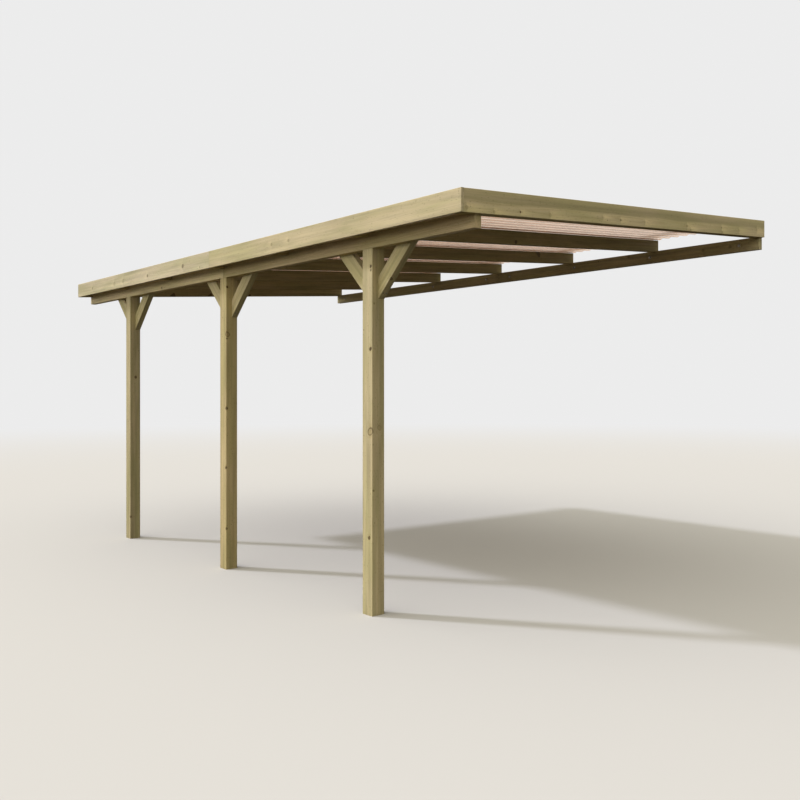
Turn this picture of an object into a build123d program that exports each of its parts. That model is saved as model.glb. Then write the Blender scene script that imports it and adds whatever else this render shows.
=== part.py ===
"""Wall-mounted timber pergola with a corrugated roof, in millimetres.

X runs along the wall, Y towards the wall and Z up. The origin is the centre of the wall beam's back
face. Heights in the driving dimensions are measured above the ground at the posts' feet.
"""

import os
from math import atan, cos, radians, sin, tan

from build123d import *

# Plan of the roof
beam_length = 5100.0
roof_depth = 3065.0
roof_overhang = 115.0
bay_count = 6
bays_between_posts = 2

# Heights above the ground
front_beam_level = 2110.0
wall_beam_level = 2310.0

# Timber sections
post_width = 90.0
beam_thickness = 45.0
beam_height = 90.0
wall_beam_thickness = 45.0
wall_beam_height = 90.0
rafter_thickness = 45.0
rafter_height = 90.0
brace_thickness = 45.0
brace_width = 90.0
fascia_thickness = 20.0
fascia_height = 120.0
post_edge_radius = 3.0
timber_arris = 1.5

# Joints between the timbers
beam_seat_depth = 18.0
wall_seat_depth = 6.0
seat_play = 1.0
tongue_gap = 2.0
brace_drop = 287.0
brace_angle = 45.0
rafter_wall_gap = 15.0
side_fascia_wall_gap = 2.0

# Holes for the bolts that hold the wall beam
wall_bolt_radius = 5.5
wall_bolt_end_distance = 150.0
wall_bolts_per_length = 4

# Corrugated roof sheets
sheet_thickness = 1.2
sheet_height = 18.0
waves_per_bay = 11
lap_half_waves = 1
wave_flank_angle = 35.0
sheet_seat_gap = 0.3
sheet_nesting_gap = 0.1
sheet_wall_gap = 15.0
sheet_front_gap = 4.0
sheet_edge_gap = 5.0

# Places that follow from the sizes above
origin_level = wall_beam_level + wall_beam_height / 2
rafter_spacing = (beam_length - rafter_thickness) / bay_count
rafter_places = [(place - bay_count / 2) * rafter_spacing for place in range(bay_count + 1)]
post_places = rafter_places[1::bays_between_posts]
fascia_back = roof_depth - fascia_thickness
beam_front = roof_depth - roof_overhang
beam_back = beam_front - beam_thickness
beam_top = front_beam_level + beam_height
wall_beam_top = wall_beam_level + wall_beam_height
roof_rise = (wall_beam_top - wall_seat_depth) - (beam_top - beam_seat_depth)
roof_slope = roof_rise / (beam_back - wall_beam_thickness)
roof_angle = atan(roof_slope)
rafter_plumb_height = rafter_height / cos(roof_angle)
fascia_plumb_height = fascia_height / cos(roof_angle)


def rafter_underside(distance):
    """Height of the rafters' underside at a distance from the wall."""
    return beam_top - beam_seat_depth + (beam_back - distance) * roof_slope


def side_outline(points):
    """Face in the YZ plane from corners given as distance from the wall and height above the ground."""
    corners = [(-distance, height - origin_level) for distance, height in points]
    return Plane.YZ * make_face(Polyline(*corners, close=True))


def front_outline(points):
    """Face in the XZ plane from corners given as place along the wall and height above the ground."""
    corners = [(place, height - origin_level) for place, height in points]
    return Plane.XZ * make_face(Polyline(*corners, close=True))


def across(outline, middle, thickness):
    """Solid of a side outline, with its thickness centred on a place along the wall."""
    return Pos(middle, 0, 0) * extrude(outline, thickness / 2, both=True)


def long_edges(timber):
    """The four longest edges of a timber."""
    return timber.edges().sort_by(SortBy.LENGTH)[-4:]


def ease_arrises(timber):
    """Plane a narrow chamfer along the long edges of a timber."""
    return chamfer(long_edges(timber), timber_arris)


def level_timber(left, right, front, back, bottom, top):
    """Squared timber along the wall, between two places, two distances and two heights."""
    outline = side_outline([(front, bottom), (back, bottom), (back, top), (front, top)])
    timber = across(outline, (left + right) / 2, right - left)
    return ease_arrises(timber)


def make_post(place):
    """Square post: the front half of its head is cut away as a seat for the front beam."""
    post_back = beam_front - post_width
    tongue_top = rafter_underside(beam_back) - tongue_gap
    outline = side_outline(
        [
            (beam_front, 0),
            (post_back, 0),
            (post_back, tongue_top),
            (beam_back, tongue_top),
            (beam_back, front_beam_level),
            (beam_front, front_beam_level),
        ]
    )
    post = across(outline, place, post_width)
    return fillet(long_edges(post), post_edge_radius)


def make_brace(place, side):
    """Brace from the flank of a post, behind the front beam, to the level of its top.

    The side is 1 to the right of the post and -1 to the left. The lower end is cut plumb and the
    upper end level.
    """
    angle = radians(brace_angle)
    flank = place + side * post_width / 2
    toe = front_beam_level - brace_drop
    heel = toe + brace_width / cos(angle)
    lower_reach = (beam_top - toe) / tan(angle)
    upper_reach = (beam_top - heel) / tan(angle)
    outline = front_outline(
        [
            (flank, toe),
            (flank + side * lower_reach, beam_top),
            (flank + side * upper_reach, beam_top),
            (flank, heel),
        ]
    )
    brace = extrude(outline, brace_thickness, dir=(0, 1, 0))
    return ease_arrises(Pos(0, -beam_back, 0) * brace)


def make_rafter(place):
    """Sloping rafter with level seats cut over the wall beam and the front beam."""
    seat_front = beam_front + seat_play
    seat_back = beam_back - seat_play
    wall_seat_front = wall_beam_thickness + seat_play
    front_end = rafter_underside(fascia_back)
    wall_end_top = rafter_underside(rafter_wall_gap) + rafter_plumb_height
    outline = side_outline(
        [
            (rafter_wall_gap, wall_beam_top),
            (wall_seat_front, wall_beam_top),
            (wall_seat_front, rafter_underside(wall_seat_front)),
            (seat_back, rafter_underside(seat_back)),
            (seat_back, beam_top),
            (seat_front, beam_top),
            (seat_front, rafter_underside(seat_front)),
            (fascia_back, front_end),
            (fascia_back, front_end + rafter_plumb_height),
            (rafter_wall_gap, wall_end_top),
        ]
    )
    return ease_arrises(across(outline, place, rafter_thickness))


def make_side_fascia(side):
    """Board on the outer face of an end rafter, flush with its underside and cut plumb at both ends."""
    wall_end = rafter_underside(side_fascia_wall_gap)
    front_end = rafter_underside(fascia_back)
    outline = side_outline(
        [
            (side_fascia_wall_gap, wall_end),
            (fascia_back, front_end),
            (fascia_back, front_end + fascia_plumb_height),
            (side_fascia_wall_gap, wall_end + fascia_plumb_height),
        ]
    )
    middle = side * (beam_length + fascia_thickness) / 2
    return ease_arrises(across(outline, middle, fascia_thickness))


def drill_wall_beam(wall_beam, left, right):
    """Drill a row of bolt holes through a length of the wall beam, at half its height."""
    step = (right - left - 2 * wall_bolt_end_distance) / (wall_bolts_per_length - 1)
    for number in range(wall_bolts_per_length):
        place = left + wall_bolt_end_distance + number * step
        drill = Pos(place, 0, 0) * Rot(90, 0, 0) * Cylinder(wall_bolt_radius, 3 * wall_beam_thickness)
        wall_beam -= drill
    return wall_beam


def wave_surface(pitch, crest_radius, rise, offset):
    """Lines and arcs of a corrugated surface, parallel to the sheet's middle line at an offset.

    Crests and troughs are equal arcs, half a pitch apart, joined by straight flanks. The rise is the
    height of a crest of the middle line above its axis. A trough lies at 0 and one at the last wave.
    """
    flank_angle = radians(wave_flank_angle)
    surface = []
    flank_start = None
    for turn in range(-lap_half_waves, 2 * waves_per_bay + lap_half_waves + 1):
        side = 1 if turn % 2 else -1
        radius = crest_radius + side * offset
        middle = turn * pitch / 2
        arc_centre = side * (rise - crest_radius)
        arc_end = arc_centre + side * radius * cos(flank_angle)
        reach = radius * sin(flank_angle)
        if flank_start:
            surface.append(Line(flank_start, (middle - reach, arc_end)))
        top = (middle, arc_centre + side * radius)
        surface.append(ThreePointArc((middle - reach, arc_end), top, (middle + reach, arc_end)))
        flank_start = (middle + reach, arc_end)
    return surface


def make_roof_sheet(bay):
    """Thin corrugated sheet over one bay, with its waves down the slope and laps over the rafters.

    Every second sheet is lifted to lie on its neighbours' edges. The outer edges are trimmed beside
    the side fascias.
    """
    pitch = rafter_spacing / waves_per_bay
    rise = (sheet_height - sheet_thickness) / 2
    flank_angle = radians(wave_flank_angle)
    crest_radius = (tan(flank_angle) * pitch / 4 - rise) / (1 / cos(flank_angle) - 1)
    lower = wave_surface(pitch, crest_radius, rise, -sheet_thickness / 2)
    upper = wave_surface(pitch, crest_radius, rise, sheet_thickness / 2)
    left_end = Line(lower[0] @ 0, upper[0] @ 0)
    right_end = Line(lower[-1] @ 1, upper[-1] @ 1)
    section = make_face(lower + upper + [left_end, right_end])

    lift = sheet_thickness / cos(flank_angle) + sheet_nesting_gap if bay % 2 else 0
    height = sheet_seat_gap + sheet_height / 2 + lift
    roof_top = rafter_underside(sheet_wall_gap) + rafter_plumb_height - origin_level
    roof_plane = Plane(
        origin=(rafter_places[bay], -sheet_wall_gap, roof_top),
        x_dir=(1, 0, 0),
        z_dir=(0, -cos(roof_angle), -sin(roof_angle)),
    )
    length = (fascia_back - sheet_wall_gap - sheet_front_gap) / cos(roof_angle)
    sheet = extrude(roof_plane * Pos(0, height, 0) * section, length)
    clear_width = beam_length - 2 * sheet_edge_gap
    roof_space = Box(clear_width, 2 * roof_depth, 2 * wall_beam_top)
    return sheet & roof_space


pieces = {}

for name, place in zip(["left", "middle", "right"], post_places):
    pieces[f"post_{name}"] = make_post(place)
    pieces[f"{name}_post_brace_left"] = make_brace(place, -1)
    pieces[f"{name}_post_brace_right"] = make_brace(place, 1)

for name, left, right in [("left", -beam_length / 2, 0), ("right", 0, beam_length / 2)]:
    pieces[f"front_beam_{name}"] = level_timber(
        left, right, beam_front, beam_back, front_beam_level, beam_top
    )
    wall_beam = level_timber(left, right, wall_beam_thickness, 0, wall_beam_level, wall_beam_top)
    pieces[f"wall_beam_{name}"] = drill_wall_beam(wall_beam, left, right)

for number, place in enumerate(rafter_places, start=1):
    pieces[f"rafter_{number}"] = make_rafter(place)

roof_length = beam_length + 2 * fascia_thickness
fascia_bottom = rafter_underside(fascia_back)
fascia_top = fascia_bottom + fascia_height
for name, left, right in [("left", -roof_length / 2, 0), ("right", 0, roof_length / 2)]:
    pieces[f"front_fascia_{name}"] = level_timber(
        left, right, roof_depth, fascia_back, fascia_bottom, fascia_top
    )

pieces["side_fascia_left"] = make_side_fascia(-1)
pieces["side_fascia_right"] = make_side_fascia(1)

for bay in range(bay_count):
    pieces[f"roof_sheet_{bay + 1}"] = make_roof_sheet(bay)

os.makedirs("parts", exist_ok=True)
for name, solid in pieces.items():
    solid.label = name
    export_step(solid, f"parts/{name}.step")
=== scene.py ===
from math import cos, pi, radians, sin

import bpy
import numpy as np
from mathutils import Matrix, Vector


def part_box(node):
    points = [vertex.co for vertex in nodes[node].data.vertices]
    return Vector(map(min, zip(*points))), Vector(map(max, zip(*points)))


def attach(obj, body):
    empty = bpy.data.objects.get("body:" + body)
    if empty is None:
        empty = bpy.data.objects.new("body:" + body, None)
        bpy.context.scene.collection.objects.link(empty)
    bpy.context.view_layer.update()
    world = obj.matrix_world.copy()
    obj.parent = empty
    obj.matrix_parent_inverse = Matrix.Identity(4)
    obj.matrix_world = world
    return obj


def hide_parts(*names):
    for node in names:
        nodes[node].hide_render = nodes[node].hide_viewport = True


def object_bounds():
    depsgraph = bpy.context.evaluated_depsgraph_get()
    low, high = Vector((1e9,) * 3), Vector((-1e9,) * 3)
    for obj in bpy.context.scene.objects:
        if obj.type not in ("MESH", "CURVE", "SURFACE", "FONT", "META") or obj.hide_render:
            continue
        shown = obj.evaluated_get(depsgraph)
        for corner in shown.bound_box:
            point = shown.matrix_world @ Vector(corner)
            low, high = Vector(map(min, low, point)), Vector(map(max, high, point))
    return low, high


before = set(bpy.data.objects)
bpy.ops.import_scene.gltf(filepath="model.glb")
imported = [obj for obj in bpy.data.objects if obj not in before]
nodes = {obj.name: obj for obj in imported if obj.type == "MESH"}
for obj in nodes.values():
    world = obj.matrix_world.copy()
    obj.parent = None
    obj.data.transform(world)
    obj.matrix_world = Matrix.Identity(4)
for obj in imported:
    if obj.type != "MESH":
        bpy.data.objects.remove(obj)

cad_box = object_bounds()


# Wall beam
# Two lengths of planed pine, bolted on at the back end to end, carry the upper ends of the rafters.
# Like all the timber of the frame they are pressure-treated, straw-coloured with a green cast.

pale_wood = (0.62, 0.525, 0.305, 1.0)
green_wood = (0.52, 0.465, 0.235, 1.0)
late_wood = (0.39, 0.295, 0.125, 1.0)
knot_wood = (0.085, 0.052, 0.016, 1.0)
worn_wood = (0.70, 0.61, 0.38, 1.0)
noise_roughness = 0.55


def put(tree, kind, *values, output=0, **settings):
    """Add a shader node, apply its settings, feed its inputs in order and return one output."""
    node = tree.nodes.new("ShaderNode" + kind)
    for name, value in settings.items():
        setattr(node, name, value)
    for socket, value in zip(node.inputs, values):
        if isinstance(value, bpy.types.NodeSocket):
            tree.links.new(value, socket)
        elif value is not None:
            socket.default_value = value
    return node.outputs[output]


def maths(tree, operation, *values):
    """One number worked out from up to three others."""
    return put(tree, "Math", *values, operation=operation)


def vectors(tree, operation, *values, output="Vector"):
    """One vector, or its output named Value, worked out from others."""
    return put(tree, "VectorMath", *values, output=output, operation=operation)


def scaled(tree, vector, factor):
    """A vector or a colour times a number."""
    return put(tree, "VectorMath", vector, None, None, factor, operation="SCALE")


def rise(tree, value, start, end, low=0.0, high=1.0):
    """A smooth step from low to high as the value goes from start to end."""
    return put(tree, "MapRange", value, start, end, low, high, interpolation_type="SMOOTHSTEP")


def blend(tree, share, first, second):
    """The first colour giving way to the second as the share goes from 0 to 1."""
    unused = [None] * 5
    return put(tree, "Mix", share, *unused, first, second, output=2, data_type="RGBA")


def cloud(tree, place, repeats, detail=2.0, output="Fac"):
    """Noise at a place, with so many repeats in a metre in each of three directions."""
    spread = vectors(tree, "MULTIPLY", place, repeats)
    return put(tree, "TexNoise", spread, None, 1.0, detail, noise_roughness, output=output)


def start_group(name, inputs, outputs):
    """A new shader group with named sockets: its tree, what goes in and what comes out."""
    tree = bpy.data.node_groups.new(name, "ShaderNodeTree")
    for label, kind in inputs.items():
        tree.interface.new_socket(name=label, in_out="INPUT", socket_type="NodeSocket" + kind)
    for label, kind in outputs.items():
        tree.interface.new_socket(name=label, in_out="OUTPUT", socket_type="NodeSocket" + kind)
    entry = tree.nodes.new("NodeGroupInput").outputs
    result = tree.nodes.new("NodeGroupOutput").inputs
    return tree, entry, result


# How far the pith drifts and outlines are ragged, and how often that repeats in a metre of grain and
# across it
pith_drift = 0.03
drift_noise = (0.8, 3.7, 5.3)
raggedness = 0.003
ragged_noise = (90.0, 190.0, 190.0)


def from_pith(tree, entry):
    """Vector from the pith of the log that the timber was sawn from, with the grain along x.

    The pith runs beside the timber's middle line and drifts from it by a slow noise along the grain. A
    fast noise of a few millimetres makes the outlines that are drawn with the vector ragged.
    """
    along = put(tree, "SeparateXYZ", entry["Place"])
    course = put(tree, "CombineXYZ", along, entry["Seed"], entry["Seed"])
    drift = cloud(tree, course, drift_noise, 1.0, "Color")
    drift = vectors(tree, "SUBTRACT", drift, (0.5, 0.5, 0.5))
    drift = vectors(tree, "MULTIPLY", drift, (0.0, pith_drift, pith_drift))
    ragged = cloud(tree, entry["Place"], ragged_noise, 1.0, "Color")
    ragged = vectors(tree, "SUBTRACT", ragged, (0.5, 0.5, 0.5))
    aside = vectors(tree, "SUBTRACT", entry["Place"], entry["Pith"])
    aside = vectors(tree, "ADD", aside, drift)
    return vectors(tree, "ADD", aside, scaled(tree, ragged, raggedness))


branch_root = 0.0003
smear_stretch = (0.22, 1.0, 1.0)


def make_branch_knot():
    """Group: how far a place lies from the axis of a branch, as a share of the branch's radius there.

    A branch is a cone that starts at the pith. The distance is the part of the place square to its
    axis, divided by the part along the axis times its spread. The heart is the depth of colour inside
    the cone, the rim that of the bark round it, and the smear a stain that runs off it with the grain.
    The sheen is a painted sheen: paler colour painted on the lower side of the branch, where the grain
    dips under it and catches the light.
    """
    tree, entry, result = start_group(
        "Branch knot",
        {
            "Place": "Vector", "Pith": "Vector", "Seed": "Float", "Along": "Float",
            "Direction": "Vector", "Spread": "Float", "Depth": "Float", "Bark": "Float",
        },
        {"Distance": "Float", "Heart": "Float", "Rim": "Float", "Smear": "Float", "Sheen": "Float"},
    )
    root = put(tree, "CombineXYZ", entry["Along"])
    reach = vectors(tree, "SUBTRACT", from_pith(tree, entry), root)
    outward = vectors(tree, "DOT_PRODUCT", reach, entry["Direction"], output="Value")
    aside = vectors(tree, "SUBTRACT", reach, scaled(tree, entry["Direction"], outward))
    outward = maths(tree, "MAXIMUM", outward, 0.0)
    radius = maths(tree, "MULTIPLY_ADD", outward, entry["Spread"], branch_root)
    distance = maths(tree, "DIVIDE", vectors(tree, "LENGTH", aside, output="Value"), radius)
    drawn_out = vectors(tree, "MULTIPLY", aside, smear_stretch)
    smear = maths(tree, "DIVIDE", vectors(tree, "LENGTH", drawn_out, output="Value"), radius)
    heart = maths(tree, "MULTIPLY", rise(tree, distance, 1.25, 0.75), entry["Depth"])
    rim = maths(tree, "MULTIPLY", rise(tree, distance, 0.7, 1.0), rise(tree, distance, 1.35, 1.0))
    rim = maths(tree, "MULTIPLY", rim, entry["Bark"])
    stain = maths(tree, "MULTIPLY", rise(tree, smear, 1.5, 0.3), entry["Bark"])
    # Painted sheen: paler colour on the branch's lower side, for light caught by the dipping grain
    below = maths(tree, "DIVIDE", put(tree, "SeparateXYZ", aside), radius)
    below = rise(tree, below, 0.6, -0.6, -0.3, 1.0)
    sheen = maths(tree, "MULTIPLY", below, rise(tree, smear, 5.0, 0.8))
    tree.links.new(distance, result["Distance"])
    tree.links.new(heart, result["Heart"])
    tree.links.new(rim, result["Rim"])
    tree.links.new(stain, result["Smear"])
    tree.links.new(sheen, result["Sheen"])
    return tree


twig_share = 0.035
twigs_round_log = 1.1
twigs_along_log = (20.0, 0.0, 0.0)
twig_shift = (7.1, 3.3, 5.7)
no_knot = 50.0


def make_twigs(tree, aside, cross, seed):
    """Distance from small knots round the log, in knot radii.

    A Voronoi pattern is wrapped round the log. Only a small share of its cells hold a knot, and in the
    others no knot is near.
    """
    round_log = scaled(tree, vectors(tree, "NORMALIZE", cross), twigs_round_log)
    along = vectors(tree, "MULTIPLY_ADD", aside, twigs_along_log, round_log)
    place = vectors(tree, "ADD", along, scaled(tree, twig_shift, seed))
    distance = put(tree, "TexVoronoi", place, None, 1.0)
    chance = put(tree, "SeparateColor", distance.node.outputs["Color"])
    width = maths(tree, "MULTIPLY_ADD", chance.node.outputs["Green"], 0.08, 0.05)
    missing = maths(tree, "GREATER_THAN", chance, twig_share)
    near = maths(tree, "DIVIDE", distance, width)
    return maths(tree, "MULTIPLY_ADD", missing, no_knot, near)


# How far a seed shifts the noise, and repeats of each noise in a metre of grain and across it
pine_shift = (13.7, 7.9, 3.3)
wave_noise = (2.2, 40.0, 40.0)
mottle_noise = (1.6, 11.0, 11.0)
streak_noise = (0.5, 34.0, 34.0)
fibre_noise = (28.0, 900.0, 900.0)
wear_noise = (14.0, 60.0, 60.0)
fleck_cells = (60.0, 300.0, 300.0)
fleck_share = 0.09

# Movements in rings or metres, and shares by which the wood grows lighter or darker
first_year = 40.0
ring_waver = 1.3
ring_bulge = 1.8
band_waver = 0.03
streak_depth = 0.6
fibre_depth = 0.18
band_depth = 0.24
soak_depth = 0.06
fleck_depth = 0.6
smear_depth = 0.6
wear_depth = 0.45
twig_depth = 0.9
end_tint = (1.08, 1.10, 1.14)

# Surface of rings, fibres, bark, arrises and ends
arris_width = 0.004
end_soak = 0.03
wood_roughness = 0.62
ring_relief = 0.00012
fibre_relief = 0.00009
bark_relief = 0.0003


def make_pine():
    """Group: planed, treated pine.

    The growth rings are the distance from the pith divided by the ring width. They bulge round knots,
    and each darkens slowly outwards and ends at once. Slow noise along the grain gives streaks and
    green patches, fast noise the fibres, and a few cells of a Voronoi pattern give dark flecks. A dark
    band follows the grain on that side of the middle that its vector points to, and breaks up into
    patches where the vector is zero. The ends are darker where they soak up rain, the end grain itself
    is pale and rough, and worn arrises are paler and smoother.
    """
    tree, entry, result = start_group(
        "Treated pine",
        {
            "Place": "Vector", "Pith": "Vector", "Seed": "Float",
            "Knot distance": "Float", "Knot heart": "Float", "Knot rim": "Float",
            "Smear": "Float", "Sheen": "Float",
            "Half size": "Vector", "End facing": "Float",
            "Ring width": "Float", "Figure": "Float", "Band side": "Vector",
        },
        {"Colour": "Color", "Roughness": "Float", "Height": "Float"},
    )
    seed = entry["Seed"]
    place = vectors(tree, "ADD", entry["Place"], scaled(tree, pine_shift, seed))
    aside = from_pith(tree, entry)
    cross = vectors(tree, "MULTIPLY", aside, (0.0, 1.0, 1.0))
    radius = vectors(tree, "LENGTH", cross, output="Value")

    twigs = make_twigs(tree, aside, cross, seed)
    knot = maths(tree, "MINIMUM", entry["Knot distance"], twigs)
    heart = maths(tree, "MULTIPLY_ADD", rise(tree, twigs, 1.2, 0.8), twig_depth, entry["Knot heart"])

    waves = maths(tree, "SUBTRACT", cloud(tree, place, wave_noise), 0.5)
    rings = maths(tree, "DIVIDE", radius, entry["Ring width"])
    rings = maths(tree, "MULTIPLY_ADD", waves, ring_waver, rings)
    rings = maths(tree, "MULTIPLY_ADD", rise(tree, knot, 4.0, 0.6), -ring_bulge, rings)
    rings = maths(tree, "ADD", rings, first_year)
    season = maths(tree, "FRACT", rings)
    late = maths(tree, "MULTIPLY", rise(tree, season, 0.25, 0.9), rise(tree, season, 1.0, 0.93))
    year = maths(tree, "ADD", maths(tree, "FLOOR", rings), seed)
    year = put(tree, "TexWhiteNoise", None, year, noise_dimensions="1D")
    late = maths(tree, "MULTIPLY", late, maths(tree, "MULTIPLY_ADD", year, 0.6, 0.4))

    mottle = rise(tree, cloud(tree, place, mottle_noise, 3.0), 0.35, 0.65)
    streak = maths(tree, "SUBTRACT", cloud(tree, place, streak_noise, 3.0), 0.5)
    fibre = maths(tree, "SUBTRACT", cloud(tree, place, fibre_noise, 1.0), 0.5)
    edges = vectors(tree, "SUBTRACT", entry["Half size"], vectors(tree, "ABSOLUTE", entry["Place"]))
    end_distance = put(tree, "SeparateXYZ", edges)
    outer = end_distance.node.outputs
    soaked = rise(tree, end_distance, end_soak, 0.0)
    near_arris = maths(tree, "MAXIMUM", outer["Y"], outer["Z"])
    side = vectors(tree, "DOT_PRODUCT", entry["Place"], entry["Band side"], output="Value")
    side = maths(tree, "MULTIPLY_ADD", waves, band_waver, side)
    band = maths(tree, "MULTIPLY", rise(tree, side, -0.006, 0.010), rise(tree, side, 0.060, 0.006))

    colour = blend(tree, mottle, pale_wood, green_wood)
    colour = blend(tree, maths(tree, "MULTIPLY", late, entry["Figure"]), colour, late_wood)
    light = maths(tree, "MULTIPLY_ADD", streak, streak_depth, 1.0)
    light = maths(tree, "MULTIPLY_ADD", fibre, fibre_depth, light)
    light = maths(tree, "MULTIPLY_ADD", band, -band_depth, light)
    light = maths(tree, "MULTIPLY_ADD", soaked, -soak_depth, light)
    # The knots' painted sheen lightens the colour, for light caught where the grain dips
    light = maths(tree, "ADD", light, entry["Sheen"])
    colour = scaled(tree, colour, light)

    fleck = put(tree, "TexVoronoi", vectors(tree, "MULTIPLY", place, fleck_cells), None, 1.0)
    chance = put(tree, "SeparateColor", fleck.node.outputs["Color"])
    chosen = maths(tree, "LESS_THAN", chance, fleck_share)
    fleck = maths(tree, "MULTIPLY", rise(tree, fleck, 0.4, 0.2), chosen)
    colour = blend(tree, maths(tree, "MULTIPLY", fleck, fleck_depth), colour, knot_wood)

    colour = blend(tree, maths(tree, "MULTIPLY", entry["Smear"], smear_depth), colour, late_wood)
    colour = blend(tree, entry["Knot rim"], colour, knot_wood)
    branch_rings = maths(tree, "SINE", maths(tree, "MULTIPLY", knot, 19.0))
    dark = maths(tree, "MULTIPLY", maths(tree, "MULTIPLY_ADD", branch_rings, 0.08, 0.92), heart)
    colour = blend(tree, dark, colour, knot_wood)

    worn = rise(tree, near_arris, arris_width, 0.0)
    worn = maths(tree, "MULTIPLY", worn, rise(tree, cloud(tree, place, wear_noise), 0.3, 0.7))
    colour = blend(tree, maths(tree, "MULTIPLY", worn, wear_depth), colour, worn_wood)

    end_grain = rise(tree, maths(tree, "ABSOLUTE", entry["End facing"]), 0.5, 0.68)
    colour = blend(tree, end_grain, colour, vectors(tree, "MULTIPLY", colour, end_tint))
    tree.links.new(colour, result["Colour"])

    rough = maths(tree, "MULTIPLY_ADD", fibre, 0.25, wood_roughness)
    rough = maths(tree, "MULTIPLY_ADD", late, -0.1, rough)
    rough = maths(tree, "MULTIPLY_ADD", dark, -0.15, rough)
    rough = maths(tree, "MULTIPLY_ADD", worn, -0.1, rough)
    rough = maths(tree, "MULTIPLY_ADD", end_grain, 0.2, rough)
    tree.links.new(rough, result["Roughness"])

    height = maths(tree, "MULTIPLY", late, ring_relief)
    height = maths(tree, "MULTIPLY_ADD", fibre, fibre_relief, height)
    height = maths(tree, "MULTIPLY_ADD", entry["Knot rim"], -bark_relief, height)
    tree.links.new(height, result["Height"])
    return tree


branch_knot = make_branch_knot()
treated_pine = make_pine()

# Of two opposite directions, the one nearer to these counts, for a timber's sides and for its grain
side_sense = (0.01, 0.1, 1.0)
grain_sense = (1.0, -2.0, 4.0)
nearly_square = 0.5


def read_points(node):
    """Points of a node's mesh in the row frame, one in each row."""
    points = np.empty(3 * len(node.data.vertices))
    node.data.vertices.foreach_get("co", points)
    return points.reshape(-1, 3)


def timber_frame(node):
    """Centre, axes and half size of a timber in the row frame.

    The grain is the cross product of the normals of its two widest kinds of flat side. Upright and
    slanting grain points up, level grain to the right and the grain of the roof to the front.
    """
    faces = len(node.data.polygons)
    normals = np.empty(3 * faces)
    areas = np.empty(faces)
    node.data.polygons.foreach_get("normal", normals)
    node.data.polygons.foreach_get("area", areas)
    normals = normals.reshape(-1, 3)
    normals *= np.where(normals @ side_sense < 0, -1.0, 1.0)[:, None]
    sides, which = np.unique(normals.round(3), axis=0, return_inverse=True)
    area = np.bincount(which.ravel(), weights=areas)
    widest = sides[area.argmax()]
    second = sides[(area * (abs(sides @ widest) < nearly_square)).argmax()]
    grain = np.cross(widest, second)
    grain /= np.linalg.norm(grain) * np.sign(grain @ grain_sense)
    axes = np.array([grain, widest, np.cross(grain, widest)])
    points = read_points(node) @ axes.T
    low, high = points.min(0), points.max(0)
    return (low + high) / 2 @ axes, axes, (high - low) / 2


wood_gloss = 0.2
glancing = (0.45, 0.9)


def dress_timber(
    name, seed, pith, knots=(), lean=0.4, ring_width=0.0042, figure=0.5, sheen=0.05,
    band_side=(0, 0, 0), tint=(1.0, 1.0, 1.0),
):
    """Give a timber its own pine.

    The seed sets its noise apart from that of the others. The pith is an offset from its middle,
    across the grain, in the row frame. A knot is a point on the timber's surface in the row frame, its
    radius there and how dark its heart and its bark are. The lean is how far branches rise along the
    grain for each length outwards, and the sheen how much paler the colour is painted under them, a
    painted sheen where the grain dips. The figure is how strongly the rings are drawn. The band side
    points from the middle line to the dark band. The tint multiplies the colour: on some timbers it is
    a tone of their own, on others painted shade or painted warm light. The gloss fades towards a
    glancing view.
    """
    node = nodes[name]
    centre, axes, half = timber_frame(node)
    pith = axes @ np.array(pith) * (0.0, 1.0, 1.0)
    material = bpy.data.materials.new(name + "_pine")
    material.use_nodes = True
    tree = material.node_tree
    shader = tree.nodes["Principled BSDF"]
    turn = Matrix(axes.tolist()).transposed().to_euler()
    place = put(tree, "TexCoord", output="Object")
    place = put(tree, "Mapping", place, tuple(centre), turn, vector_type="TEXTURE")
    nearest, heart, rim, smear, paler = no_knot, 0.0, 0.0, 0.0, 0.0
    for *point, radius, depth, bark in knots:
        along, *outward = axes @ (np.array(point) - centre) - pith
        reach = np.hypot(*outward)
        direction = np.array([lean, outward[0] / reach, outward[1] / reach]) / np.hypot(1, lean)
        spread = radius / (reach * np.hypot(1, lean))
        distance = put(
            tree, "Group", place, tuple(pith), seed, along - lean * reach, tuple(direction), spread,
            depth, bark, node_tree=branch_knot,
        )
        branch = distance.node.outputs
        nearest = maths(tree, "MINIMUM", distance, nearest)
        heart = maths(tree, "ADD", branch["Heart"], heart)
        rim = maths(tree, "MAXIMUM", branch["Rim"], rim)
        smear = maths(tree, "MAXIMUM", branch["Smear"], smear)
        # Each knot adds its painted sheen, paler colour painted on its lower side
        paler = maths(tree, "MULTIPLY_ADD", branch["Sheen"], sheen, paler)
    band_side = axes @ np.array(band_side) * (0.0, 1.0, 1.0)
    normal = put(tree, "NewGeometry", output="Normal")
    end_facing = vectors(tree, "DOT_PRODUCT", normal, tuple(axes[0]), output="Value")
    colour = put(
        tree, "Group", place, tuple(pith), seed, nearest, heart, rim, smear, paler, tuple(half),
        end_facing, ring_width, figure, tuple(band_side), node_tree=treated_pine,
    )
    wood = colour.node.outputs
    # The tint multiplies the wood colour: a tone of its own on some timbers, painted shade or painted
    # warm light on others
    tree.links.new(vectors(tree, "MULTIPLY", colour, tint), shader.inputs["Base Color"])
    tree.links.new(wood["Roughness"], shader.inputs["Roughness"])
    tree.links.new(put(tree, "Bump", 1.0, 1.0, 0.1, wood["Height"]), shader.inputs["Normal"])
    flatness = put(tree, "LayerWeight", 0.5, output="Facing")
    gloss = shader.inputs["Specular IOR Level"]
    gloss.default_value = wood_gloss
    tree.links.new(rise(tree, flatness, *glancing, wood_gloss, 0.0), gloss)
    node.data.materials.clear()
    node.data.materials.append(material)


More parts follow.
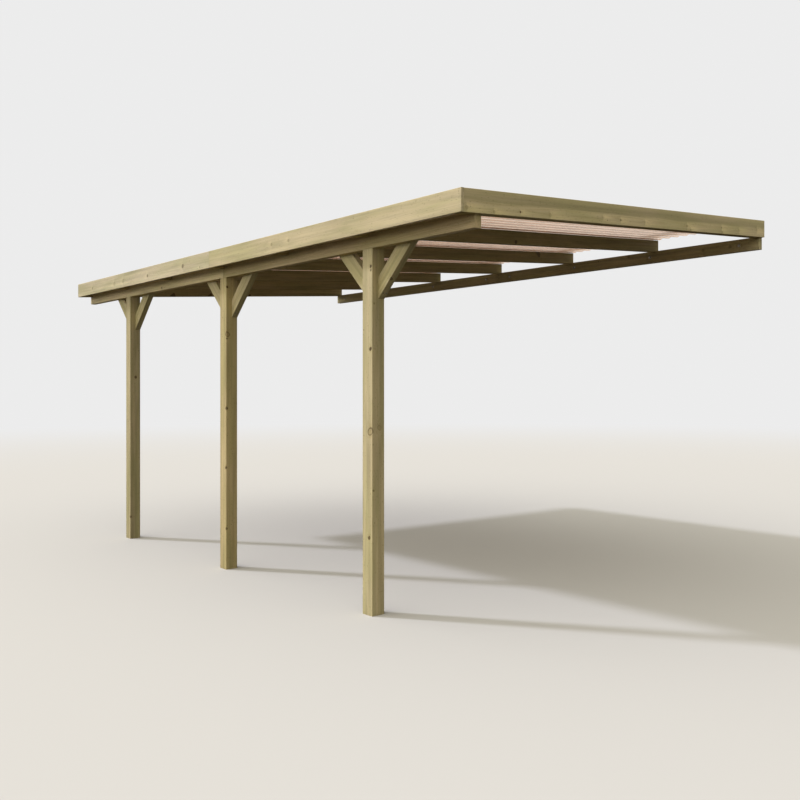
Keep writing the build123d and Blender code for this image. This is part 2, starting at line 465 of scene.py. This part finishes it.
wall_beam_knots = [
    (1.451, -0.045, 0.027, 0.008, 0.4, 0.3), (2.112, -0.045, 0.003, 0.009, 0.35, 0.3),
    (2.330, -0.045, 0.008, 0.010, 0.35, 0.3),
]
dress_timber("wall_beam_left", 1.3, (0, 0.01, -0.05))
dress_timber("wall_beam_right", 2.6, (0, 0.03, 0.012), wall_beam_knots)


# Wall bolts
# Four bolts with hexagon heads and washers go through the holes in each length of the wall beam. Heads
# and washers are steel with a dull coat of zinc, its grey darkened as painted shade.

# Both greys are painted shade: darker than clean zinc, as the zinc looks in shade
zinc = (0.24, 0.225, 0.19, 1.0)
dull_zinc_and_painted_shade = (0.14, 0.13, 0.11, 1.0)
zinc_noise = (300.0, 300.0, 300.0)
bolts_per_length = 4
bolt_end_distance = 0.15
bolt_washer = [(0.0110, 0.0), (0.0110, 0.0014), (0.0106, 0.0018)]
bolt_head = [(0.0098, 0.0018), (0.0098, 0.0072), (0.0086, 0.0080)]
round_sides = 16
hexagon = 6


def make_zinc():
    """Steel with a dull coat of zinc, cloudy in its grey and its gloss."""
    material = bpy.data.materials.new("zinc")
    material.use_nodes = True
    tree = material.node_tree
    shader = tree.nodes["Principled BSDF"]
    place = put(tree, "TexCoord", output="Object")
    cloudy = rise(tree, cloud(tree, place, zinc_noise, 3.0), 0.3, 0.7)
    # The darkened greys paint shade into the zinc
    tree.links.new(blend(tree, cloudy, zinc, dull_zinc_and_painted_shade), shader.inputs["Base Color"])
    tree.links.new(rise(tree, cloudy, 0.0, 1.0, 0.45, 0.65), shader.inputs["Roughness"])
    shader.inputs["Metallic"].default_value = 1.0
    return material


zinc_steel = make_zinc()


def fasten(name, profile, sides, spots, axis):
    """One piece of equal turned parts, each standing on its spot and turned about the axis.

    A corner of a part is its radius times the cosine and sine of its turn, and its height, for each
    radius and height of the profile. The walls join the rings, and a cap closes each end.
    """
    turn = 2 * pi * np.arange(sides) / sides
    radius, height = np.array(profile).T[:, :, None]
    rings = np.stack([radius * np.cos(turn), radius * np.sin(turn), height + 0 * turn], -1)
    upright = np.array(Vector(axis).to_track_quat("Z", "Y").to_matrix())
    points = rings.reshape(-1, 3) @ upright.T + np.array(spots)[:, None]
    ring = np.arange(sides)
    following = np.roll(ring, -1)
    last = sides * (len(profile) - 1)
    step = np.arange(0, last, sides)[:, None, None]
    walls = np.stack([ring, following, following + sides, ring + sides], -1) + step
    caps = np.stack([ring[::-1], ring + last])
    part = (last + sides) * np.arange(len(spots))[:, None, None]
    faces = (part + walls.reshape(-1, 4)).reshape(-1, 4).tolist()
    faces += (part + caps).reshape(-1, sides).tolist()
    mesh = bpy.data.meshes.new(name)
    mesh.from_pydata(points.reshape(-1, 3).tolist(), [], faces)
    mesh.materials.append(zinc_steel)
    piece = bpy.data.objects.new(name, mesh)
    bpy.context.scene.collection.objects.link(piece)
    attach(piece, "root")


bolt_spots = []
for low, high in (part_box("wall_beam_left"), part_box("wall_beam_right")):
    for place in np.linspace(low.x + bolt_end_distance, high.x - bolt_end_distance, bolts_per_length):
        bolt_spots.append((place, low.y, (low.z + high.z) / 2))
fasten("wall_bolt_washers", bolt_washer, round_sides, bolt_spots, (0, -1, 0))
fasten("wall_bolt_heads", bolt_head, hexagon, bolt_spots, (0, -1, 0))


# Posts
# Three square pine posts stand on the ground. Half of each head is cut away as a seat for the front
# beam. They are sawn with the pith inside, so their knots run out to all four sides.

post_knots = {
    "post_left": [
        (-1.645, -2.950, -2.164, 0.008, 0.9, 0.5), (-1.640, -2.900, -0.950, 0.009, 0.8, 0.5),
    ],
    "post_middle": [
        (0.040, -2.950, -1.620, 0.008, 0.9, 0.5), (0.041, -2.950, -2.060, 0.007, 0.9, 0.5),
        (0.045, -2.944, -0.314, 0.007, 1.0, 0.6), (0.045, -2.939, -0.657, 0.014, 0.2, 0.8),
        (0.045, -2.944, -0.687, 0.005, 0.9, 0.5), (0.045, -2.948, -1.190, 0.009, 0.9, 0.6),
    ],
    "post_right": [
        (1.712, -2.950, -0.350, 0.007, 1.0, 0.6), (1.713, -2.950, -0.371, 0.005, 0.8, 0.5),
        (1.712, -2.950, -0.822, 0.009, 1.0, 0.7), (1.709, -2.950, -1.300, 0.017, 0.12, 0.75),
        (1.706, -2.950, -1.908, 0.009, 0.9, 0.7), (1.730, -2.937, -1.638, 0.004, 0.6, 0.4),
        (1.730, -2.937, -0.560, 0.004, 0.4, 0.3), (1.730, -2.900, -1.276, 0.012, 0.15, 0.3),
    ],
}
# The left post's tint darkens it as painted shade, the middle post's darkens and warms it as painted
# shade, and the right post's is its own tone
post_pine = {
    "post_left": (3.1, (0.006, 0.010, 0), (0.87, 0.87, 0.87)),
    "post_middle": (4.7, (-0.008, 0.004, 0), (0.98, 0.93, 0.84)),
    "post_right": (5.2, (-0.004, 0.014, 0), (1.02, 1.02, 1.02)),
}
for name, (seed, pith, tint) in post_pine.items():
    dress_timber(name, seed, pith, post_knots[name], ring_width=0.006, figure=0.35, tint=tint)


# Front beam
# Two lengths lie in the notched heads of the posts and meet on the middle one. They carry the rafters,
# which are cut over them.

front_beam_knots = [(-1.017, -2.950, -0.227, 0.010, 0.6, 0.4)]
# The right length's warm tint is painted warm light from below; the left length is tinted lighter
dress_timber("front_beam_left", 6.4, (0, 0.035, -0.02), front_beam_knots, tint=(1.38, 1.36, 1.42))
dress_timber("front_beam_right", 7.8, (0, 0.05, 0.015), tint=(1.0, 0.95, 0.91))


# Braces
# Two short pieces stiffen each post. They run at 45 degrees from its flanks to the back of the front
# beam, and their ends are cut to lie flat on both.

brace_knots = {"right_post_brace_right": [(1.843, -2.905, -0.428, 0.009, 0.6, 0.6)]}
brace_names = sorted(name for name in nodes if "brace" in name)
brace_seeds = 9.0 + 1.7 * np.arange(len(brace_names))
brace_piths = [
    (0, 0.04, 0), (0, -0.05, 0), (0.03, 0.02, 0), (0, 0.06, 0.01), (0, 0.03, 0.02), (0, 0.045, 0),
]
for name, seed, pith in zip(brace_names, brace_seeds, brace_piths):
    dress_timber(name, seed, pith, brace_knots.get(name, ()))


# Frame screws
# Two countersunk screws hold the lower end of each brace to its post, and two its upper end to the
# back of the beam. Two more hold the beam to each post head from behind. Each head has a socket.

screw_head = [(0.0045, 0.0), (0.0042, 0.0004)]
screw_socket = [(0.0021, 0.0003), (0.0020, 0.0005)]
screws_apart = 0.022
toe_distance = 0.030
upper_screw_drop = 0.045
upper_screw_reach = 0.268
post_screw_drop = 0.050


def frame_screws(name, spots, axis):
    """Countersunk screws on some spots, with their heads square to the axis."""
    fasten(name + "_heads", screw_head, round_sides, spots, axis)
    fasten(name + "_sockets", screw_socket, hexagon, spots, axis)


for label, side in (("left", -1), ("right", 1)):
    lower_spots, upper_spots = [], []
    for low, high in [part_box(name) for name in brace_names if name.endswith(label)]:
        flank = low.x if side > 0 else high.x
        for offset in (-screws_apart / 2, screws_apart / 2):
            middle = (low.y + high.y) / 2 + offset
            lower_spots.append((flank + side * toe_distance, middle, low.z + toe_distance))
            reach = flank + side * upper_screw_reach + 2 * offset
            upper_spots.append((reach, high.y, high.z - upper_screw_drop))
    frame_screws("brace_toe_screws_" + label, lower_spots, (side, 0, -1))
    frame_screws("brace_top_screws_" + label, upper_spots, (0, 1, 0))

post_spots = []
for low, high in [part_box(name) for name in ("post_left", "post_middle", "post_right")]:
    for offset in (-screws_apart, screws_apart):
        post_spots.append(((low.x + high.x) / 2 + offset, high.y, high.z - post_screw_drop))
frame_screws("post_screws", post_spots, (0, 1, 0))


# Rafters
# Seven rafters slope from the wall beam to the front, with level seats cut over both beams. They are
# sawn beside the pith, now on one side of it and now on the other.

rafter_knots = {
    "rafter_1": [
        (-2.505, -2.124, -0.093, 0.010, 0.8, 0.5), (-2.505, -1.711, -0.066, 0.010, 0.8, 0.5),
        (-2.505, -1.246, -0.033, 0.010, 0.8, 0.5),
    ],
    "rafter_6": [(1.7075, -1.700, -0.065, 0.009, 0.8, 0.5), (1.7075, -1.461, -0.120, 0.010, 0.8, 0.5)],
    "rafter_5": [(0.865, -0.782, 0.090, 0.009, 0.8, 0.5), (0.865, -0.465, 0.060, 0.008, 0.8, 0.5)],
}
rafter_names = sorted(name for name in nodes if name.startswith("rafter"))
# Painted shade: the rafters are tinted darker and warmer, as in the shade under the roof
painted_rafter_shade = (0.93, 0.90, 0.80)
beside_pith = 0.030
above_pith = 0.012
for number, name in enumerate(rafter_names):
    seed = 21.0 + 2.3 * number
    pith = (beside_pith * (-1) ** number, 0, above_pith * (number % 3 - 1))
    dress_timber(name, seed, pith, rafter_knots.get(name, ()), tint=painted_rafter_shade)


# Side fascias
# Boards close the roof at both ends. They are nailed on the end rafters, flush with their underside,
# and stand above the roof sheets. A dark band runs along the right one, over a row of faint knots.

side_fascia_knots = [
    (2.57, -3.026, -0.158, 0.008, 0.2, 0.3), (2.57, -2.831, -0.152, 0.006, 0.2, 0.3),
    (2.57, -2.632, -0.126, 0.0045, 1.0, 0.7), (2.57, -2.390, -0.110, 0.008, 0.15, 0.2),
    (2.57, -1.920, -0.065, 0.005, 0.2, 0.2), (2.57, -1.747, -0.058, 0.0055, 0.6, 0.5),
    (2.57, -1.500, -0.035, 0.007, 0.1, 0.1), (2.57, -1.030, 0.002, 0.007, 0.3, 0.4),
    (2.57, -0.985, -0.020, 0.007, 0.25, 0.3), (2.57, -0.600, 0.040, 0.006, 0.4, 0.4),
    (2.57, -0.590, 0.010, 0.006, 0.25, 0.3), (2.57, -0.365, 0.045, 0.006, 0.2, 0.2),
    (2.57, -0.114, 0.075, 0.008, 0.2, 0.2),
]
dress_timber("side_fascia_left", 41.0, (0.045, 0, 0.02))
dress_timber(
    "side_fascia_right", 43.5, (-0.035, 0, -0.02), side_fascia_knots, lean=-0.1,
    figure=0.35, sheen=0.22, band_side=(0, 0, 1), tint=(1.10, 1.10, 1.12),
)


# Front fascia
# Two boards, nailed on the rafters' front ends, meet at mid-length. They cover the front ends of the
# side fascias.

front_fascia_knots = {
    "front_fascia_left": [
        (-2.211, -3.065, -0.131, 0.010, 0.5, 0.3), (-1.711, -3.065, -0.137, 0.015, 0.15, 0.3),
        (-1.520, -3.065, -0.133, 0.015, 0.15, 0.3), (-1.034, -3.065, -0.136, 0.010, 0.7, 0.4),
        (-0.413, -3.065, -0.129, 0.012, 0.7, 0.4), (-0.143, -3.065, -0.165, 0.004, 0.5, 0.3),
    ],
    "front_fascia_right": [
        (0.837, -3.065, -0.116, 0.008, 0.35, 0.25), (1.033, -3.065, -0.120, 0.008, 0.35, 0.25),
    ],
}
dress_timber(
    "front_fascia_left", 47.0, (0, 0.06, -0.03), front_fascia_knots["front_fascia_left"],
    figure=0.4, sheen=0.1, tint=(1.0, 1.02, 1.18),
)
dress_timber(
    "front_fascia_right", 49.5, (0, 0.075, 0.02), front_fascia_knots["front_fascia_right"],
    figure=0.3, sheen=0.1, tint=(1.0, 1.0, 1.04),
)


# Roof sheets
# Six thin corrugated sheets of clear plastic lie on the rafters with their waves down the slope. Their
# warm tint is partly the plastic's own and partly painted light, the warm light beyond seen through
# them. Neighbours overlap by one wave over a rafter, every second sheet on top.

sheet_thickness = 0.0012
waves_per_bay = 11
points_per_wave = 20
sheet_rows = 7
lap_margin = 0.001
lap_tint = 0.5
crease = radians(40)
refraction = 1.45
end_slice = 0.001
# The warm sheet colours are partly painted light: warmer than the plastic, for the warm light seen
# through it
sheet_tint_and_painted_light = (0.93, 0.73, 0.58, 1.0)
dusty_sheet = (0.88, 0.69, 0.56, 1.0)
grimy_sheet = (0.58, 0.47, 0.38, 1.0)
untinted = (1.0, 1.0, 1.0, 1.0)
dust_noise = (9.0, 2.5, 9.0)
grime_noise = (14.0, 1.2, 14.0)


def roof_axes():
    """Upper end of the rafters' tops, the direction down the slope and the one square to the roof."""
    points = read_points(nodes["rafter_1"])
    upper_end = points[points[:, 1] > points[:, 1].max() - end_slice]
    lower_end = points[points[:, 1] < points[:, 1].min() + end_slice]
    upper = upper_end[upper_end[:, 2].argmax()] * (0, 1, 1)
    lower = lower_end[lower_end[:, 2].argmax()] * (0, 1, 1)
    down = (lower - upper) / np.linalg.norm(lower - upper)
    return upper, down, np.cross(down, (-1.0, 0.0, 0.0))


roof_edge, down_slope, off_roof = roof_axes()
rafter_places = [sum(box[0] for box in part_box(name)) / 2 for name in rafter_names]
bay_width = rafter_places[1] - rafter_places[0]


def on_roof(name):
    """A node's points as places from left to right, depths down the slope and heights off it."""
    points = read_points(nodes[name]) - roof_edge
    return points[:, 0], points @ down_slope, points @ off_roof


def wave_skin(name, first_trough):
    """Skin of a corrugated sheet that fills its node, as rows of points round a closed section.

    The section's middle line is minus half the wave height times the cosine of the turn. The turn is
    the place across the waves divided by their pitch, from a trough over the rafter. The line is moved
    half the thickness along its normal, up and down. The rows run straight down the slope. With the
    skin come its faces and how deep in a trough each point lies, from 0 to 1.
    """
    width, depth, height = on_roof(name)
    pitch = bay_width / waves_per_bay
    amplitude = (np.ptp(height) - sheet_thickness) / 2
    count = int(round(points_per_wave * np.ptp(width) / pitch)) + 1
    across = np.linspace(width.min(), width.max(), count)
    angle = 2 * pi * (across - first_trough) / pitch
    middle = (height.max() + height.min()) / 2 - amplitude * np.cos(angle)
    steep = amplitude * 2 * pi / pitch * np.sin(angle)
    offset = sheet_thickness / 2 / np.hypot(1, steep)
    upper = np.stack([across - offset * steep, middle + offset], axis=1)
    lower = np.stack([across + offset * steep, middle - offset], axis=1)
    section = np.concatenate([upper, lower[::-1]])
    places = np.linspace(depth.min(), depth.max(), sheet_rows)
    rows = section[:, 0, None] * (1.0, 0.0, 0.0) + section[:, 1, None] * off_roof
    rows = roof_edge + rows[None] + places[:, None, None] * down_slope
    around = 2 * count
    ring = np.arange(around)
    following = np.roll(ring, -1)
    step = around * np.arange(sheet_rows - 1)[:, None, None]
    walls = np.stack([ring, following, following + around, ring + around], -1) + step
    top = np.arange(count - 1)
    back = around - 1 - top
    end = np.stack([top, back, back - 1, top + 1], -1)
    other_end = end[:, ::-1] + around * (sheet_rows - 1)
    faces = np.concatenate([walls.reshape(-1, 4), end, other_end])
    trough = (1 + np.cos(angle)) / 2
    return rows.reshape(-1, 3), faces, np.tile(np.append(trough, trough[::-1]), sheet_rows)


def make_sheet_plastic():
    """Tinted plastic that lets light through and blurs it, more so where rain has left a film of dust.

    Grime gathers in the troughs, in streaks down the slope. In a lap each sheet has half the tint, so
    that the two together look like one. The warm tint is partly the plastic's own and partly painted
    light seen through it.
    """
    material = bpy.data.materials.new("roof_plastic")
    material.use_nodes = True
    tree = material.node_tree
    shader = tree.nodes["Principled BSDF"]
    place = put(tree, "TexCoord", output="Object")
    dust = cloud(tree, place, dust_noise, 4.0)
    colour = blend(tree, rise(tree, dust, 0.3, 0.75), sheet_tint_and_painted_light, dusty_sheet)
    lap = put(tree, "Attribute", output="Fac", attribute_name="lap")
    colour = blend(tree, maths(tree, "MULTIPLY", lap, lap_tint), colour, untinted)
    trough = put(tree, "Attribute", output="Fac", attribute_name="trough")
    streak = rise(tree, cloud(tree, place, grime_noise, 3.0), 0.25, 0.7, 0.15, 0.6)
    grime = maths(tree, "MULTIPLY", rise(tree, trough, 0.55, 1.0), streak)
    tree.links.new(blend(tree, grime, colour, grimy_sheet), shader.inputs["Base Color"])
    rough = rise(tree, dust, 0.2, 0.8, 0.06, 0.12)
    tree.links.new(maths(tree, "MULTIPLY_ADD", grime, 0.2, rough), shader.inputs["Roughness"])
    shader.inputs["Transmission Weight"].default_value = 1.0
    shader.inputs["IOR"].default_value = refraction
    return material


sheet_plastic = make_sheet_plastic()
sheet_names = sorted(name for name in nodes if name.startswith("roof_sheet"))
sheets = bpy.data.collections.new("roof_sheets")
inner_rafters = np.array(rafter_places[1:-1])
lap_reach = bay_width / waves_per_bay / 2 + lap_margin
for number, name in enumerate(sheet_names):
    points, faces, trough = wave_skin(name, rafter_places[number])
    mesh = bpy.data.meshes.new("corrugated_" + name)
    mesh.from_pydata(points.tolist(), [], faces.tolist())
    lap = abs(points[:, :1] - inner_rafters).min(1) < lap_reach
    mesh.attributes.new("trough", "FLOAT", "POINT").data.foreach_set("value", trough)
    mesh.attributes.new("lap", "FLOAT", "POINT").data.foreach_set("value", lap.astype(float))
    mesh.shade_smooth()
    mesh.set_sharp_from_angle(angle=crease)
    mesh.materials.append(sheet_plastic)
    sheet = bpy.data.objects.new("corrugated_" + name, mesh)
    bpy.context.scene.collection.objects.link(sheet)
    sheets.objects.link(sheet)
    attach(sheet, "root")
    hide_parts(name)


# Roof screws
# Screws with hexagon heads hold the sheets down in the troughs over the rafters. Each presses a domed
# washer on the sheet.

screws_per_rafter = 7
screw_end_distance = 0.09
washer_sides = 12
domed_washer = [(0.0075, 0.0006), (0.0080, 0.0012), (0.0060, 0.0032), (0.0048, 0.0036)]
hexagon_head = [(0.0046, 0.0034), (0.0046, 0.0084), (0.0038, 0.0090)]

troughs = np.array([on_roof(name)[2].min() + sheet_thickness for name in sheet_names])
levels = np.maximum(np.append(troughs[:1], troughs), np.append(troughs, troughs[-1:]))
depths = on_roof("roof_sheet_1")[1]
first, last = depths.min() + screw_end_distance, depths.max() - screw_end_distance
depths = np.linspace(first, last, screws_per_rafter)
roof_spots = roof_edge + np.array(rafter_places)[:, None, None] * (1.0, 0.0, 0.0)
roof_spots = roof_spots + levels[:, None, None] * off_roof + depths[:, None] * down_slope
roof_spots = roof_spots.reshape(-1, 3).tolist()
fasten("roof_screw_washers", domed_washer, washer_sides, roof_spots, tuple(off_roof))
fasten("roof_screw_heads", hexagon_head, hexagon, roof_spots, tuple(off_roof))


# Floor, light and camera
# A pale floor lies under the posts' feet and fades into a pale backdrop. A soft lamp shines from the
# left and the front on all but the roof sheets. Light from above, the front and the right fills in.

ground = cad_box[0].z
floor_reach = 60.0
backdrop = (0.84, 0.84, 0.84, 1.0)
floor_pale = (0.60, 0.59, 0.555, 1.0)
floor_return = (0.055, 0.047, 0.032, 1.0)
haze = (7.0, 26.0)
key_turn = radians(35)
key_height = radians(42)
key_strength = 1.5
key_softness = radians(4)
key_colour = (0.96, 0.98, 1.16)
light_above = (1.02, 0.99, 0.92)
light_front = (1.04, 0.975, 0.87)
light_right = (1.08, 0.98, 0.78)
toward_above = (-0.3, -0.4, 0.87)
toward_front = (-0.35, -0.9, 0.25)
toward_right = (0.93, -0.3, 0.2)
sheet_shade = 0.85
camera_place = (5.5646, -6.0182)
eye_height = 1.300
camera_turn = radians(49.48)
camera_lens = 38.597
camera_shift = -0.0131


def seen_directly(tree):
    """1 for what is seen straight, in a gloss or through a clear sheet, 0 for light on the object."""
    rays = tree.nodes.new("ShaderNodeLightPath").outputs
    seen = maths(tree, "MAXIMUM", rays["Is Camera Ray"], rays["Is Glossy Ray"])
    seen = maths(tree, "MAXIMUM", seen, rays["Is Transmission Ray"])
    return maths(tree, "MULTIPLY", seen, maths(tree, "LESS_THAN", rays["Diffuse Depth"], 0.5))


def make_floor_material():
    """Pale and matt, with the object's shadow, and fading into the backdrop far away."""
    material = bpy.data.materials.new("pale_floor")
    material.use_nodes = True
    tree = material.node_tree
    tree.nodes.remove(tree.nodes["Principled BSDF"])
    seen = seen_directly(tree)
    colour = blend(tree, seen, floor_return, floor_pale)
    near = put(tree, "BsdfDiffuse", colour)
    far = put(tree, "Emission", backdrop, seen)
    place = put(tree, "TexCoord", output="Object")
    distance = vectors(tree, "LENGTH", place, output="Value")
    shown = put(tree, "MixShader", rise(tree, distance, *haze), near, far)
    tree.links.new(shown, tree.nodes["Material Output"].inputs["Surface"])
    return material


corners = np.array([(-1, -1, 0), (1, -1, 0), (1, 1, 0), (-1, 1, 0)])
corners = floor_reach * corners + (0, 0, ground)
floor_mesh = bpy.data.meshes.new("floor")
floor_mesh.from_pydata(corners.tolist(), [], [(0, 1, 2, 3)])
floor_mesh.materials.append(make_floor_material())
floor = bpy.data.objects.new("floor", floor_mesh)
bpy.context.scene.collection.objects.link(floor)

world = bpy.data.worlds.new("studio")
world.use_nodes = True
sky = world.node_tree
direction = put(sky, "TexCoord", output="Generated")
from_above = vectors(sky, "DOT_PRODUCT", direction, toward_above, output="Value")
from_front = vectors(sky, "DOT_PRODUCT", direction, toward_front, output="Value")
from_right = vectors(sky, "DOT_PRODUCT", direction, toward_right, output="Value")
above = scaled(sky, light_above, put(sky, "MapRange", from_above, -0.1, 1.0, 0.05, 1.1))
front = scaled(sky, light_front, rise(sky, from_front, 0.2, 1.0, 0.0, 0.85))
right = scaled(sky, light_right, rise(sky, from_right, 0.1, 1.0, 0.0, 0.40))
fill = vectors(sky, "ADD", vectors(sky, "ADD", above, front), right)
through_sheets = put(sky, "LightPath", output="Is Transmission Ray")
fill = scaled(sky, fill, maths(sky, "MULTIPLY_ADD", through_sheets, -sheet_shade, 1.0))
shown = blend(sky, seen_directly(sky), fill, backdrop)
sky.links.new(shown, sky.nodes["Background"].inputs["Color"])
bpy.context.scene.world = world

lamp = bpy.data.lights.new("key", "SUN")
lamp.energy = key_strength
lamp.angle = key_softness
lamp.color = key_colour
key = bpy.data.objects.new("key", lamp)
key.light_linking.receiver_collection = sheets
for link in sheets.collection_objects:
    link.light_linking.link_state = "EXCLUDE"
level = Vector((-cos(key_turn), -sin(key_turn), 0))
toward_key = level * cos(key_height) + Vector((0, 0, sin(key_height)))
key.rotation_euler = toward_key.to_track_quat("Z", "Y").to_euler()
bpy.context.scene.collection.objects.link(key)

camera_data = bpy.data.cameras.new("camera")
camera_data.sensor_width = 36.0
camera_data.lens = camera_lens
camera_data.shift_y = camera_shift
camera_data.clip_end = 200.0
camera = bpy.data.objects.new("camera", camera_data)
camera.location = (*camera_place, ground + eye_height)
camera.rotation_euler = (radians(90), 0, camera_turn)
bpy.context.scene.collection.objects.link(camera)
bpy.context.scene.camera = camera
bpy.context.scene.view_settings.view_transform = "Standard"
